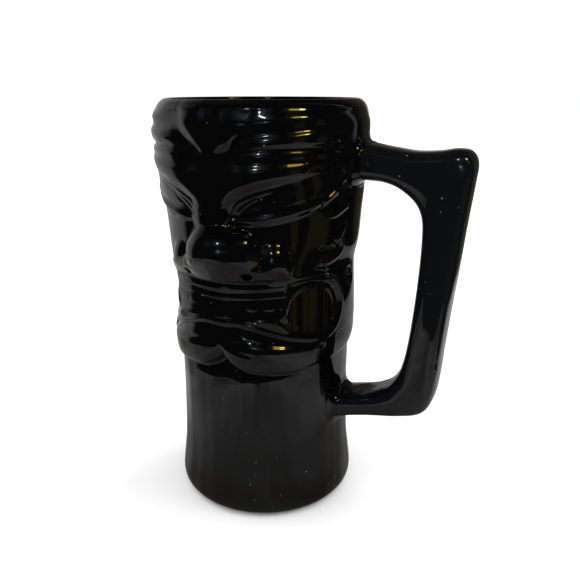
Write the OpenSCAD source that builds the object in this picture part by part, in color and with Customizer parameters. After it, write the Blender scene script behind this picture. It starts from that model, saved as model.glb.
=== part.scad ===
// Tiki mug: a tall slip-cast cup with a face in relief, and a separately cast handle
// joined to it by two beads of slip. Millimetres, +Z up, foot on z = 0.
// The face looks along -Y and the handle stands out along +X.

/* [Cup] */
// Overall height of the cup
cup_h = 153; // [152.5:0.5:156]
// Largest radius of the flared foot
foot_r = 35.2; // [34.6:0.1:35.8]
// Radius of the plain waist below the face
waist_r = 33; // [32.7:0.1:33.3]
// Thickness of the cup's floor
floor_t = 6.4; // [5:0.1:8]
// Wall thickness at the waist
wall_t = 3.8; // [3.2:0.1:4]
// Radius of the cavity at the rim
mouth_r = 33.4; // [33:0.1:33.8]
// Depth of the unglazed recess under the foot
foot_recess_h = 2; // [1:0.1:3]

/* [Face] */
// How far the tip of the nose stands out from the head
nose_h = 10; // [8:0.5:11]
// How far the brow stands out
brow_h = 2.5; // [1.5:0.1:3]
// How deep the pouches at the ends of the mouth are set in
pouch_depth = 1.5; // [0.8:0.1:1.8]
// How far the lower lip stands out
lip_h = 3; // [1.5:0.1:3.5]

/* [Handle] */
// Thickness of the handle from front to back
handle_t = 18; // [15:0.5:20]
// Width of the slip bead at each root
bead_w = 3; // [1.5:0.25:4]

/* [Hidden] */
$fn = 96;

glaze = [0.02, 0.02, 0.022];
slip = [0.05, 0.045, 0.045];

// Places on the face are t, the angle round from the nose in degrees, and z, the height.
// Arc length of one degree of t on the head.
arc = 37 * PI / 180;
// Angle at which the face has faded into the plain back of the head, and where it starts to.
back_t = 110;
fade_t = 94;
// The face is on a band of the wall between these two heights, in rows this far apart.
band_low = 54.5;
band_high = 150.5;
row_step = 1.5;
// Corner radius of the foot, and the side above it, as [radius, z].
foot_corner = 4.6;
lower_side = [[foot_r, 6.4], [34.45, 13], [33.6, 21], [33.2, 33], [waist_r, 45], [waist_r, band_low]];

// Radius of the head without its relief, as [z, radius].
head = [
    [54.5, 33], [66, 33.9], [84, 34.9], [105, 36.2], [118, 37.3], [134, 38.4], [145, 38.6], [150.5, 37.4]
];

// Lines that run round the head, from the waist up, each a list of [t, z, radius]. Every line is a
// crest, a valley or a shoulder, and between two lines the surface is one smooth curve. The lines
// are drawn for a lip and a brow that stand out by drawn_lip_h and drawn_brow_h.
drawn_lip_h = 3;
drawn_brow_h = 2.5;
waist = [[0, 54.5, 33], [back_t, 54.5, 33]];
under_lip = [[0, 62.9, 32.1], [12, 59.3, 32.4], [20, 58.3, 32.7], [45, 57.8, 33], [back_t, 59, 33]];
lip_shoulder = [[0, 66.4, 34.3], [4, 65.2, 35.3], [12, 62.8, 36.3], [40, 61.2, 35.6], [56, 62, 34.5],
    [back_t, 64, 34.3]];
lip_crest = [[0, 70.2, 36.9], [14, 69.2, 37.5], [28, 68.9, 37.3], [42, 68.3, 36.3], [56, 67.5, 34.9],
    [back_t, 69.5, 35.2]];
lip_back = [[0, 74.2, 36], [14, 73.3, 36.1], [28, 71.9, 35.9], [42, 70.6, 35.1], [56, 69.6, 34.5],
    [back_t, 72.4, 35.2]];
lip_top = [[0, 78.5, 35.6], [20, 77.2, 35.5], [40, 73.4, 34.8], [60, 71, 34.1], [back_t, 74, 35.3]];
mouth_middle = [[0, 87, 35.9], [20, 87, 35.8], [40, 85, 35.4], [56, 83, 34.8], [back_t, 83, 35]];
nose_base = [[0, 95.3, 36], [40, 95.3, 35.8], [56, 95.3, 34.2], [back_t, 95, 34.6]];
cheek = [[0, 105, 36.8], [40, 105.5, 36.3], [56, 106, 35.5], [72, 106, 36.1], [back_t, 104, 36.2]];
lid_foot = [[0, 113.4, 37.2], [30, 113.9, 37.1], [50, 117, 36.7], [60, 120.2, 37.2], [back_t, 115, 37]];
lid_crest = [[0, 116, 37.7], [20, 116, 38.1], [40, 118.1, 38.1], [60, 121.9, 38.2], [72, 124, 38],
    [back_t, 121, 37.5]];
lid_back = [[0, 118, 37.6], [20, 117.8, 37.5], [40, 120.2, 37.7], [60, 124, 37.8], [back_t, 123.6, 37.6]];
brow_foot = [[0, 121, 38.2], [5, 119.6, 37.9], [12, 121.6, 38.3], [20, 124.5, 38.5], [40, 128.3, 38.9],
    [60, 129.8, 38.5], [back_t, 129, 38.1]];
brow_edge = [[0, 124, 38.8], [5, 121.4, 38.9], [9, 124.4, 40.2], [20, 128.2, 40.8], [40, 130.4, 40],
    [60, 131.2, 38.9], [back_t, 131.2, 38.3]];
brow_crest = [[0, 129, 39.4], [14, 131, 41.1], [24, 131.6, 41.1], [40, 132.4, 40.3], [55, 133.2, 39.5],
    [back_t, 134, 38.5]];
low_groove = [[0, 137, 38.8], [20, 137.9, 39.4], [45, 138.4, 39], [60, 138, 38.5], [back_t, 139.6, 38.7]];
low_roll = [[0, 139.5, 39.2], [25, 140.4, 40.2], [45, 142, 40.1], [60, 142.4, 39.9], [back_t, 143, 38.9]];
high_groove = [[0, 142, 39.3], [24, 142.8, 39.1], [45, 144.4, 39.4], [60, 145.2, 39.2],
    [back_t, 145.6, 38.8]];
high_roll = [[0, 146, 39.1], [30, 146.2, 39.6], [60, 147.2, 39.2], [back_t, 147.6, 38.3]];
rim_shoulder = [[0, 150.4, 37.6], [back_t, 150.4, 37.5]];

// Lower edge of the raised forehead panel, as [z, t]; it is a V with its point at the nose.
panel_edge = [[128, -13], [135.4, 0], [139, 9.5], [143.8, 17.5], [150, 23], [154, 24]];
// Edges of the mouth from its middle, as [t, z]; they meet at its round end.
mouth_low = [[0, 79.7], [10, 80], [20, 78.5], [40, 74.3], [60, 71.6], [66, 71.8], [72, 73.8], [77, 82.5]];
mouth_high = [[0, 93.6], [48, 94.6], [58, 94.6], [66, 93.4], [71.5, 91], [75.5, 87], [77, 82.5]];
// Height of the nose's broad base out from the axis, as [t, radius], and of its upper side, as [t, z].
nose_bar = [[0, 43], [14, 41.4], [23, 40], [31, 39.6], [38, 37.9], [45, 34]];
nose_bar_top = [[0, 102.5], [14, 102], [20, 98.6]];
// The sloping underside of the nose where it starts, as [t, radius].
nose_under = [[0, 39.7], [8, 39.1], [15, 37.7], [30, 36.8], [38, 36.3]];
// Folds of skin, as [height, half-width, points as [t, z]].
folds = [
    // Crow's foot at the corner of the eye
    [0.8, 2, [[56, 119], [60, 121.2], [65, 124], [74, 129.2]]],
    // Cheek, as an S
    [0.8, 2.2, [[76.5, 112.5], [71, 107.6], [68, 106.4]]],
    [0.9, 2.3, [[71, 107.6], [74.5, 104.6], [73, 101.4], [67, 99.6], [60, 98.6]]]
];

// ---- Small curves ----
function clamp01(x) = min(1, max(0, x));
// Smooth step from 0 at a to 1 at b.
function rise(a, b, x) = let(k = clamp01((x - a) / (b - a))) k * k * (3 - 2 * k);
// Rounded ridge of half-width w centred on 0.
function ridge(x, w) = abs(x) >= w ? 0 : pow(cos(90 * x / w), 2);
// Rounded dome over an ellipse with radii a and b.
function dome(x, y, a, b) = sqrt(max(0, 1 - pow(x / a, 2) - pow(y / b, 2)));
// The larger, or the smaller, of two heights, with a fillet about k wide where they cross.
function fuse(a, b, k) = max(a, b) + pow(max(k - abs(a - b), 0), 2) / (4 * k);
function trim(a, b, k) = -fuse(-a, -b, k);
// Catmull-Rom curve through the points, n steps to a span.
function spline(p, n) = [
    for (i = [0 : len(p) - 2], k = [0 : i == len(p) - 2 ? n : n - 1])
        let(u = k / n, a = p[max(0, i - 1)], b = p[i], c = p[i + 1], d = p[min(len(p) - 1, i + 2)])
        0.5 * (2 * b + (c - a) * u + (2 * a - 5 * b + 4 * c - d) * u * u
            + (3 * b - a - 3 * c + d) * u * u * u)
];
// Distance from point q to the segment from a to b, and to a path of points.
function to_segment(q, a, b) = let(e = b - a, u = clamp01((q - a) * e / (e * e))) norm(q - a - u * e);
function to_path(q, p) = min([for (i = [0 : len(p) - 2]) to_segment(q, p[i], p[i + 1])]);

// ---- Head ----
function head_r(z) = lookup(z, head);
// Height and radius of a line at angle t, with its relief scaled by gain.
function line_at(line, gain, t) = let(
    z = lookup(t, [for (p = line) [p[0], p[1]]]),
    r = lookup(t, [for (p = line) [p[0], p[2]]]))
    [z, head_r(z) + gain * (r - head_r(z))];
// The lines' points at angle t, from the waist up.
function points_at(t) = concat(
    [line_at(waist, 1, t)],
    [for (line = [under_lip, lip_shoulder, lip_crest, lip_back]) line_at(line, lip_h / drawn_lip_h, t)],
    [for (line = [lip_top, mouth_middle, nose_base, cheek]) line_at(line, 1, t)],
    [for (line = [lid_foot, lid_crest, lid_back]) line_at(line, 1, t)],
    [for (line = [brow_foot, brow_edge, brow_crest]) line_at(line, brow_h / drawn_brow_h, t)],
    [for (line = [low_groove, low_roll, high_groove, high_roll, rim_shoulder]) line_at(line, 1, t)]);
// Slope of the curve at a point between two chords: level at a crest or in a valley.
function slope_at(before, after) = before * after <= 0 ? 0 : 2 * before * after / (before + after);
// The upright curve at angle t, as [z, radius, slope].
function profile(t) = let(
    p = points_at(t),
    last = len(p) - 1,
    chord = [for (i = [0 : last - 1]) (p[i + 1][1] - p[i][1]) / (p[i + 1][0] - p[i][0])])
    [for (i = [0 : last]) [p[i][0], p[i][1], i == 0 || i == last ? 0 : slope_at(chord[i - 1], chord[i])]];
function profile_r(p, z) = let(
    i = min(len(p) - 2, max(0, len([for (q = p) if (q[0] <= z) 1]) - 1)),
    h = p[i + 1][0] - p[i][0],
    u = clamp01((z - p[i][0]) / h),
    v = 1 - u)
    (1 + 2 * u) * v * v * p[i][1] + u * v * v * h * p[i][2]
        + u * u * (3 - 2 * u) * p[i + 1][1] - u * u * v * h * p[i + 1][2];

// ---- Features, each of which takes the radius r so far at t and z, and gives the new one ----
// The two halves of the face aren't quite alike: right is true on the handle's side.
function forehead(r, t, z, right) = let(
    lean = 0.65,
    d = lean * arc * (lookup(z, panel_edge) - t),
    panel = 39.5 + 0.5 * rise(136, 142, z) - 1.7 * rise(145, 151.5, z) - 0.0025 * t * t,
    moat = right ? rise(21, 14, t) * ridge(min(d, 0) + 0.7, 6) * rise(1.6, -0.7, d)
        : 1.15 * ridge(min(d, 0) + 0.9, 8) * rise(3.8, -0.9, d))
    r + (rise(-0.8, 2.6, d) * (panel - r) - moat) * rise(band_high, 148, z) * rise(1.5, 7, t);

function eye(r, t, z) = r + 0.35 * dome((t - 38) * arc, z - 122.8 - 0.13 * (t - 38), 13, 3);

function flat(path) = [for (p = path) [p[0] * arc, p[1]]];
function folded(r, t, z) = r + max([for (f = folds) f[0] * ridge(to_path([t * arc, z], flat(f[2])), f[1])]);

// The mouth is a wide slot with teeth in its middle and a round pouch at each end.
mouth_outline = flat(concat(mouth_low, [for (i = [len(mouth_high) - 2 : -1 : 0]) mouth_high[i]]));
function mouth(r, t, z) = let(
    within = z > lookup(t, mouth_low) && z < lookup(t, mouth_high),
    inside = (within ? 1 : -1) * to_path([t * arc, z], mouth_outline),
    middle = rise(42, 36, t),
    tooth = 0.3 * pow(cos(t * 20), 2) * ridge(z - 85.5, 3),
    row = 35.7 + 0.3 * rise(89, 92, z) + tooth,
    pouch = 35 - pouch_depth * lookup(t, [[40, 0.55], [55, 1], [64, 1], [72, 0.67]]),
    floor_r = middle * row + (1 - middle) * min(pouch, r))
    r + rise(0, 2, inside) * (floor_r - r) + 0.75 * ridge(inside + 0.7, 1.9);

function chin(r, t, z) = r - 0.5 * ridge(t, 4) * rise(71.5, 69.5, z) * rise(63, 66, z);

// Radius of an ellipsoid with centre [t, radius, z] and radii size. Away from the ellipsoid the
// value falls off, so that fuse() fillets the joint.
function ellipsoid(t, z, centre, size) = let(
    s = sin(t - centre[0]),
    c = cos(t - centre[0]),
    qa = pow(s / size[0], 2) + pow(c / size[1], 2),
    qb = -2 * c * centre[1] / pow(size[1], 2),
    qc = pow(centre[1] / size[1], 2) + pow((z - centre[2]) / size[2], 2) - 1,
    d = qb * qb - 4 * qa * qc)
    d > 0 ? (sqrt(d) - qb) / (2 * qa) : centre[1] * c - 3 * sqrt(-d) / qa;

// Bridge, bulb and wing, cut below by one sloping underside with a nostril in it.
function nose(r, t, z, right) = let(
    seat = 34.6,
    tip_z = 104.6,
    out = head_r(tip_z) + nose_h - seat,
    bridge = ellipsoid(t, z, [0, seat, 117], [5.4, 5.6, 15]),
    tip = ellipsoid(t, z, [0, seat, tip_z], [right ? 11.8 : 11, out, 10.4]),
    bulb = right ? fuse(tip, ellipsoid(t, z, [12.5, 35, 104.4], [7.4, 7.6, 8.6]), 3) : tip,
    wing = right ? ellipsoid(t, z, [30.5, 33.2, 100.6], [7, 6.8, 8.2])
        : ellipsoid(t, z, [27, 32.8, 100.4], [6, 5.6, 7.4]),
    over = max(z - lookup(t, nose_bar_top), 0),
    bar = lookup(t, nose_bar) - (right ? 0 : 1.6 * rise(20, 32, t)) - 0.5 * pow(over, 1.5),
    full = fuse(fuse(fuse(fuse(bulb, bridge, 3), wing, 4), bar, 1.5), r, 1.6),
    under = lookup(t, nose_under) + 0.74 * (z - 95.2),
    nostril = 1.8 * dome((t - 17) * arc, z - 97, 2.2, 1.8))
    z < 94 ? r : trim(full, max(under, r), 1) - nostril;

function ear(r, t, z) = r + 0.5 * ridge(t - 92, 18) * rise(61, 68, z) * rise(112, 100, z)
    - 1.7 * dome((t - 87.5) * arc, z - 91.3, 2.6, 3);

function face_r(p, t, z, right) = let(
    plain = profile_r(p, z),
    top = folded(eye(forehead(plain, t, z, right), t, z), t, z))
    ear(nose(chin(mouth(top, t, z), t, z), t, z, right), t, z);

// Radius of the cup's outside at azimuth a, from -180 to 180 with 0 at the nose, and height z.
function face_curve(a) = [abs(a), a >= 0, profile(min(abs(a), back_t))];
back = profile(back_t);
function curve_r(c, z) = let(b = profile_r(back, z), k = rise(back_t, fade_t, c[0]))
    k == 0 ? b : b + k * (face_r(c[2], c[0], z, c[1]) - b);
function side_z_r(z) = lookup(z, [for (p = lower_side) [p[1], p[0]]]);
function cup_r(a, z) = z < band_low ? side_z_r(z) : curve_r(face_curve(a), z);

// Triangles between the successive rings of n points in p, each quad cut along its shorter
// diagonal; looped joins the last ring to the first.
function ring_faces(p, n, looped = false) = let(m = len(p) / n) [
    for (j = [0 : looped ? m - 1 : m - 2], i = [0 : n - 1])
        let(
            k = (i + 1) % n,
            l = (j + 1) % m,
            q = [j * n + i, j * n + k, l * n + k, l * n + i],
            rising = norm(p[q[0]] - p[q[2]]) < norm(p[q[1]] - p[q[3]]),
            pair = rising ? [[0, 1, 2], [0, 2, 3]] : [[0, 1, 3], [1, 2, 3]])
        for (f = pair) [for (c = f) q[c]]
];

// ---- Cup ----
// The turned shape of the cup; between the foot and the lip it lies under the face's band.
module plain_body() {
    under_face = [[waist_r, band_low + 1.4], [31.2, band_low + 3.5], [31.2, 66], [33, 92], [36.2, 146],
        [37.3, 149.4]];
    rotate_extrude() polygon(concat(
        [[0, 0], [foot_r - foot_corner, 0]],
        [for (k = [0 : 15 : 90]) [foot_r - foot_corner * (1 - sin(k)), foot_corner * (1 - cos(k))]],
        spline(lower_side, 4),
        under_face,
        [[37.3, cup_h - 2.4], [36.7, cup_h - 1.3], [35.5, cup_h - 0.4], [34.6, cup_h], [0, cup_h]]));
}

module face_band() {
    // Close columns over the face and wider ones round the back.
    face_step = 3;
    back_step = 10;
    columns = concat(
        [for (a = [-175 : back_step : -105]) a],
        [for (a = [-99 : face_step : 99]) a],
        [for (a = [105 : back_step : 175]) a]);
    at = [for (a = columns) face_curve(a)];
    rows = [for (z = [band_low : row_step : band_high]) z];
    n = len(columns);
    m = len(rows);
    // The first and last rows dip under the turned shape, so that the two join along a curve.
    dip = 0.45;
    skin = [for (j = [0 : m - 1], i = [0 : n - 1]) let(
        r = curve_r(at[i], rows[j]) - (j == 0 || j == m - 1 ? dip : 0))
        [r * sin(columns[i]), -r * cos(columns[i]), rows[j]]];
    low_centre = m * n;
    high_centre = m * n + 1;
    polyhedron(
        points = concat(skin, [[0, 0, rows[0]], [0, 0, rows[m - 1]]]),
        faces = concat(
            [for (f = ring_faces(skin, n)) [f[2], f[1], f[0]]],
            [for (i = [0 : n - 1]) [low_centre, i, (i + 1) % n]],
            [for (i = [0 : n - 1]) [high_centre, (m - 1) * n + (i + 1) % n, (m - 1) * n + i]]));
}

module cavity() {
    corner = 8;
    low_r = waist_r - wall_t - 0.3;
    above = 0.5;
    rotate_extrude() polygon(concat(
        [[0, floor_t]],
        [for (k = [0 : 15 : 90]) [low_r - corner + corner * sin(k), floor_t + corner - corner * cos(k)]],
        [[waist_r - wall_t, 60], [mouth_r, cup_h - 1.6], [mouth_r + 0.3, cup_h - 0.4], [mouth_r + 1.1, cup_h],
         [mouth_r + 1.1, cup_h + above], [0, cup_h + above]]));
}

module foot_recess() {
    ring_w = 9;
    ring_in = foot_r - ring_w;
    below = 1;
    translate([0, 0, -below])
        cylinder(h = foot_recess_h + below, r1 = ring_in + 0.5, r2 = ring_in - 1);
}

module cup() {
    color(glaze) difference() {
        union() {
            plain_body();
            face_band();
        }
        cavity();
        foot_recess();
    }
}

// ---- Handle ----
// The outer and inner edges of the handle's side view, as pairs of [x, z], from the upper
// root to the lower one. Each pair is one section.
outer_edge = [
    [42, 138.6], [49, 137.4], [57, 136.5], [64.5, 136.9], [70.5, 137.8], [74.8, 137], [77, 133.2],
    [76.6, 126.5], [75.1, 112], [73.7, 96], [72.3, 82], [71.1, 68], [70.2, 56], [69, 48], [65.6, 42.4],
    [57.5, 39.8], [47, 38], [38, 36]
];
inner_edge = [
    [42, 126.2], [47, 125.9], [51.5, 124.6], [55, 122.4], [57.9, 119.8], [59.7, 117], [60.7, 113.8],
    [61.1, 109.5], [61.1, 102], [60.7, 92], [59.9, 81], [58.8, 70], [57.5, 62], [55.6, 56], [52.2, 51],
    [48, 48], [43.5, 46.2], [38, 45]
];
// Heights of the handle's outer and inner edges at each root.
upper_root = [138.9, 126.2];
lower_root = [35, 44.4];
sides = 28;
// The section is a square with very round corners: 2 would make it an ellipse.
squareness = 3.4;

function section_unit(k) = let(a = 360 * k / sides, p = 2 / squareness) [
    sign(cos(a)) * pow(abs(cos(a)), p),
    sign(sin(a)) * pow(abs(sin(a)), p)];
// The rounded section between edge points o and i.
function section(o, i) = [for (k = [0 : sides - 1]) let(
    s = section_unit(k),
    m = (o + i) / 2,
    h = (o - i) / 2)
    [m[0] + h[0] * s[0], s[1] * handle_t / 2, m[1] + h[1] * s[0]]];
// The same section laid on the cup's side at a root, grown by g, and standing out from it by out.
function root_mid(root) = (root[0] + root[1]) / 2;
function root_r(y, z) = cup_r(90 + asin(y / head_r(z)), z);
function root_ring(root, g, out = 0) = [for (k = [0 : sides - 1]) let(
    s = section_unit(k),
    half = (abs(root[0] - root[1]) / 2 + g) * sign(root[0] - root[1]),
    z = root_mid(root) + half * s[0],
    y = (handle_t / 2 + g) * s[1],
    r = root_r(y, z) + out)
    [sqrt(r * r - y * y), y, z]];
function root_centre(root) = [root_r(0, root_mid(root)), 0, root_mid(root)];

// A closed solid skinned over rings of points; the end rings are filled from their middles.
module skinned(rings, ends) {
    n = len(rings[0]);
    skin = [for (r = rings, p = r) p];
    first_centre = len(skin);
    last_centre = first_centre + 1;
    last = first_centre - n;
    polyhedron(
        points = concat(skin, ends),
        faces = concat(
            ring_faces(skin, n),
            [for (i = [0 : n - 1]) [first_centre, (i + 1) % n, i]],
            [for (i = [0 : n - 1]) [last_centre, last + i, last + (i + 1) % n]]));
}

module handle() {
    outer = spline(outer_edge, 4);
    inner = spline(inner_edge, 4);
    // The root faces follow the cup, so they are filled through smaller rings.
    rings = concat(
        [for (g = [6, 4, 2]) root_ring(upper_root, -g)],
        [for (out = [0, bead_w]) root_ring(upper_root, 0, out)],
        [for (i = [0 : len(outer) - 1]) section(outer[i], inner[i])],
        [for (out = [bead_w, 0]) root_ring(lower_root, 0, out)],
        [for (g = [2, 3.5]) root_ring(lower_root, -g)]);
    color(glaze) skinned(rings, [root_centre(upper_root), root_centre(lower_root)]);
}

// ---- Slip beads ----
// A hollow-cheeked ring filling the corner between the cup and a root of the handle.
module slip_bead(root) {
    // The bead's outline, as [grown from the root, out from the cup], in widths of the bead.
    outline = [[0, 0], [1, 0], [1, 0.1], [0.55, 0.22], [0.22, 0.55], [0.1, 1], [0, 1]];
    skin = [for (p = bead_w * outline, q = root_ring(root, p[0], p[1])) q];
    // The rings of the upper root run the other way round.
    upper = root[0] > root[1];
    polyhedron(
        points = skin,
        faces = [for (f = ring_faces(skin, sides, true)) upper ? f : [f[2], f[1], f[0]]]);
}

module upper_slip_bead() {
    color(slip) slip_bead(upper_root);
}

module lower_slip_bead() {
    color(slip) slip_bead(lower_root);
}

cup();
handle();
upper_slip_bead();
lower_slip_bead();
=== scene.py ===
"""Tiki mug: a black-glazed slip-cast cup with a face in relief, its handle and the two slip beads."""
import math

import bmesh
import bpy
import numpy as np
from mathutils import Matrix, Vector


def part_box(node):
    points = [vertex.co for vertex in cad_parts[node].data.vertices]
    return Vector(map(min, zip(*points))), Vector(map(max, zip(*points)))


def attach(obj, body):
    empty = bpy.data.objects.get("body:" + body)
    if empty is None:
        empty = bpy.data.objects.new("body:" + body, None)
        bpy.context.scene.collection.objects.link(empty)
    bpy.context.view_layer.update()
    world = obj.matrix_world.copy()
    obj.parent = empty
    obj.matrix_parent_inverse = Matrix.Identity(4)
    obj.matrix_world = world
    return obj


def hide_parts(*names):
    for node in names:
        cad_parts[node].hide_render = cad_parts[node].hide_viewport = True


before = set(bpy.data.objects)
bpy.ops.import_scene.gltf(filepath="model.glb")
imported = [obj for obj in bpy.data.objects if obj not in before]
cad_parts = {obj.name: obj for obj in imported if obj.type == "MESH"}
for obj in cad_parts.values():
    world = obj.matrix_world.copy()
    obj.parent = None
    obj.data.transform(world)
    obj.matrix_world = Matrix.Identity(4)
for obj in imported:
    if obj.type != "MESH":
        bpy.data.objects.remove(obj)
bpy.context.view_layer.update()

MM = 0.001                        # lengths are in mm until a mesh is made
CUP_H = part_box("cup")[1][2] / MM

# The cup's turned parts, in mm.
FOOT_R = 35.2
FOOT_CORNER = 4.6                 # rounding of the foot's outer edge
FOOT_RING_R = 28.5                # middle of the ring that stands on the table
LOWER_SIDE = [(FOOT_R, 6.4), (34.45, 13), (33.6, 21), (33.2, 33), (33.0, 45), (33.0, 54.5)]     # (radius, z)
RECESS_R, RECESS_H = 26.4, 2.0    # the hollow under the foot
RECESS_EDGE, RECESS_ROUND = 0.8, 1.2
CAVITY = [(14.4, 28.9), (60, 29.2), (151.4, 33.4)]      # (z, radius)
FLOOR_Z, FLOOR_ROUND = 6.4, 8.0   # the cavity's floor and the rounding of its edge
# The lip, as (share of the wall from the cavity outwards, z).
LIP = [(1, 150.3), (0.79, 151.6), (0.5, 152.6), (0.27, 153.0), (0.08, 152.6), (0, 151.4)]

# The band of relief: its heights in mm, and how far it goes round the head in degrees.
BAND_LOW, BAND_HIGH = 54.5, 150.3
BACK, FADE = 110, 16
ROW_STEP, COLUMN_STEP = 0.25, 0.5
GLAZE_ROWS, GLAZE_COLUMNS = 1.2, 0.8    # how far the glaze rounds the relief, in rows and columns
DEG = 0.645                       # mm of arc to a degree, on a radius of 37 mm


# ---------------------------------------------------------------- curves
def smooth(a, b, x):
    """0 at a, 1 at b, with level ends."""
    k = np.clip((x - a) / (b - a), 0, 1)
    return k * k * (3 - 2 * k)


def ridge(x, half):
    """Rounded ridge, 1 at x = 0 and 0 beyond the half-width."""
    return np.where(np.abs(x) < half, np.cos(np.pi / 2 * x / half) ** 2, 0)


def blend_max(a, b, k):
    """The larger of two heights, with a fillet about k wide where they cross."""
    h = np.maximum(k - np.abs(a - b), 0) / k
    return np.maximum(a, b) + h * h * k / 4


def blend_min(a, b, k):
    """The smaller of two heights, with a rounding about k wide where they cross."""
    return -blend_max(-a, -b, k)


def catmull(points, steps=12):
    """A smooth curve through the points."""
    p = np.asarray(points, float)
    p = np.vstack([2 * p[0] - p[1], p, 2 * p[-1] - p[-2]])
    u = np.linspace(0, 1, steps, endpoint=False)[:, None]
    out = []
    for a, b, c, d in zip(p, p[1:], p[2:], p[3:]):
        out.append(0.5 * (2 * b + (c - a) * u + (2 * a - 5 * b + 4 * c - d) * u ** 2
                          + (3 * b - a - 3 * c + d) * u ** 3))
    return np.vstack(out + [p[-2:-1]])


def along(points, at):
    """The second coordinate of a smooth curve, where its first coordinate is at."""
    c = catmull(points)
    return np.interp(at, c[:, 0], c[:, 1])


def monotone(x, y, at):
    """Monotone cubic through (x, y): no overshoot between the points."""
    h = np.diff(x)
    s = np.diff(y) / h
    m = np.zeros(len(x))
    for i in range(1, len(x) - 1):
        if s[i - 1] * s[i] > 0:
            w1, w2 = 2 * h[i] + h[i - 1], h[i] + 2 * h[i - 1]
            m[i] = (w1 + w2) / (w1 / s[i - 1] + w2 / s[i])
    m[0], m[-1] = s[0], s[-1]
    k = np.clip(np.searchsorted(x, at) - 1, 0, len(x) - 2)
    u = (at - x[k]) / h[k]
    return ((1 + 2 * u) * (1 - u) ** 2 * y[k] + u * (1 - u) ** 2 * h[k] * m[k]
            + u * u * (3 - 2 * u) * y[k + 1] + u * u * (u - 1) * h[k] * m[k + 1])


def monotone_along(points, at):
    """Monotone curve through the points, at an array of any shape."""
    x, y = np.array(points, float).T
    return monotone(x, y, np.clip(at, x[0], x[-1]).ravel()).reshape(at.shape)


def to_path(points, closed=False):
    """A smooth path in mm through places on the face, which are (degrees from the nose, z)."""
    p = [(t * DEG, z) for t, z in points]
    return catmull(p + p[:1] if closed else p, 8)


def path_distance(path, x, z):
    """Distance from each point to a path, and how far along the path its nearest point is, 0 to 1."""
    best = np.full(x.shape, 1e9)
    where = np.zeros(x.shape)
    n = len(path) - 1
    for i, (a, b) in enumerate(zip(path, path[1:])):
        e = b - a
        u = np.clip(((x - a[0]) * e[0] + (z - a[1]) * e[1]) / (e @ e + 1e-12), 0, 1)
        d = np.hypot(x - a[0] - u * e[0], z - a[1] - u * e[1])
        near = d < best
        best = np.where(near, d, best)
        where = np.where(near, (i + u) / n, where)
    return best, where


def inside_distance(points, x, z):
    """Signed distance to the closed path through the points, positive inside."""
    path = to_path(points, closed=True)
    d, _ = path_distance(path, x, z)
    odd = np.zeros(x.shape, bool)
    for a, b in zip(path, path[1:]):
        crosses = (a[1] > z) != (b[1] > z)
        with np.errstate(divide="ignore", invalid="ignore"):
            at = a[0] + (z - a[1]) / (b[1] - a[1]) * (b[0] - a[0])
        odd ^= crosses & (x < at)
    return np.where(odd, d, -d)


def stroke(half, points, x, z, start=0.12, end=0.12):
    """A ridge of the given half-width along a path, fading out over a share of it at each end."""
    d, s = path_distance(to_path(points), x, z)
    return ridge(d, half) * smooth(0, start, s) * smooth(1, 1 - end, s)


def ellipsoid(t, z, at_t, at_r, at_z, side, out, up):
    """Radius at (t, z) of an ellipsoid centred on azimuth at_t, or a low value where it isn't met."""
    a = np.radians(t - at_t)
    s, c = np.sin(a), np.cos(a)
    qa = (s / side) ** 2 + (c / out) ** 2
    qb = -2 * c * at_r / out ** 2
    qc = (at_r / out) ** 2 + ((z - at_z) / up) ** 2 - 1
    disc = qb * qb - 4 * qa * qc
    hit = (-qb + np.sqrt(np.maximum(disc, 0))) / (2 * qa)
    # Away from the ellipsoid the value falls off, so that blend_max fillets the joint.
    fall = 6 * np.sqrt(np.maximum(-disc, 0)) / (2 * qa)
    return np.where(disc > 0, hit, at_r * c - fall)


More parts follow.
